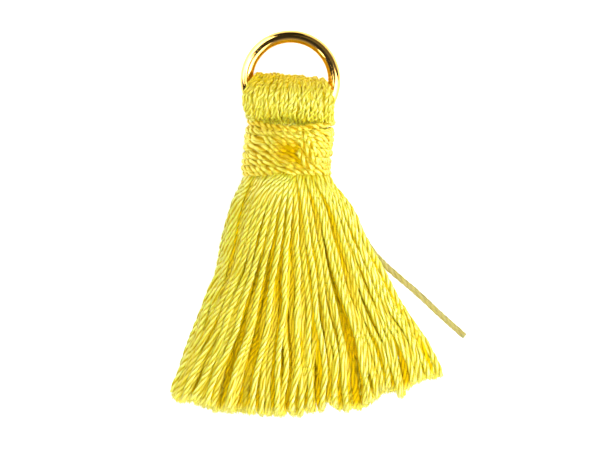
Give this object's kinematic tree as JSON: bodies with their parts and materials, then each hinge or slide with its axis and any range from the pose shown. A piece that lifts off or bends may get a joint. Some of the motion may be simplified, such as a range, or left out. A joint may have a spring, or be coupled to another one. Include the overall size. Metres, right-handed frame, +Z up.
{
  "type": "silk tassel",
  "caption": "Mini yarn tassel lying flat: a rolled head folded over a metal jump ring, a thread-bound neck, a spreading skirt of cut twisted yarn and one loose thread end.",
  "frame": {"origin": "on the resting surface, under the middle of the bound neck", "axes": "+Y from the neck to the ring, with the skirt towards -Y; +X to the side of the loose thread end; +Z up from the surface, towards the picture's camera"},
  "size_m": [0.0241, 0.0312, 0.0071],
  "materials": {
    "yarn": "silky twisted yarn",
    "binding_thread": "silky twisted thread",
    "loose_thread": "waxed twisted thread",
    "ring": "polished gold plate"
  },
  "bodies": {
    "root": {"jump_ring": "ring", "yarn_hank": "yarn", "neck_binding": "binding_thread", "thread_tail": "loose_thread"}
  },
  "joints": []
}
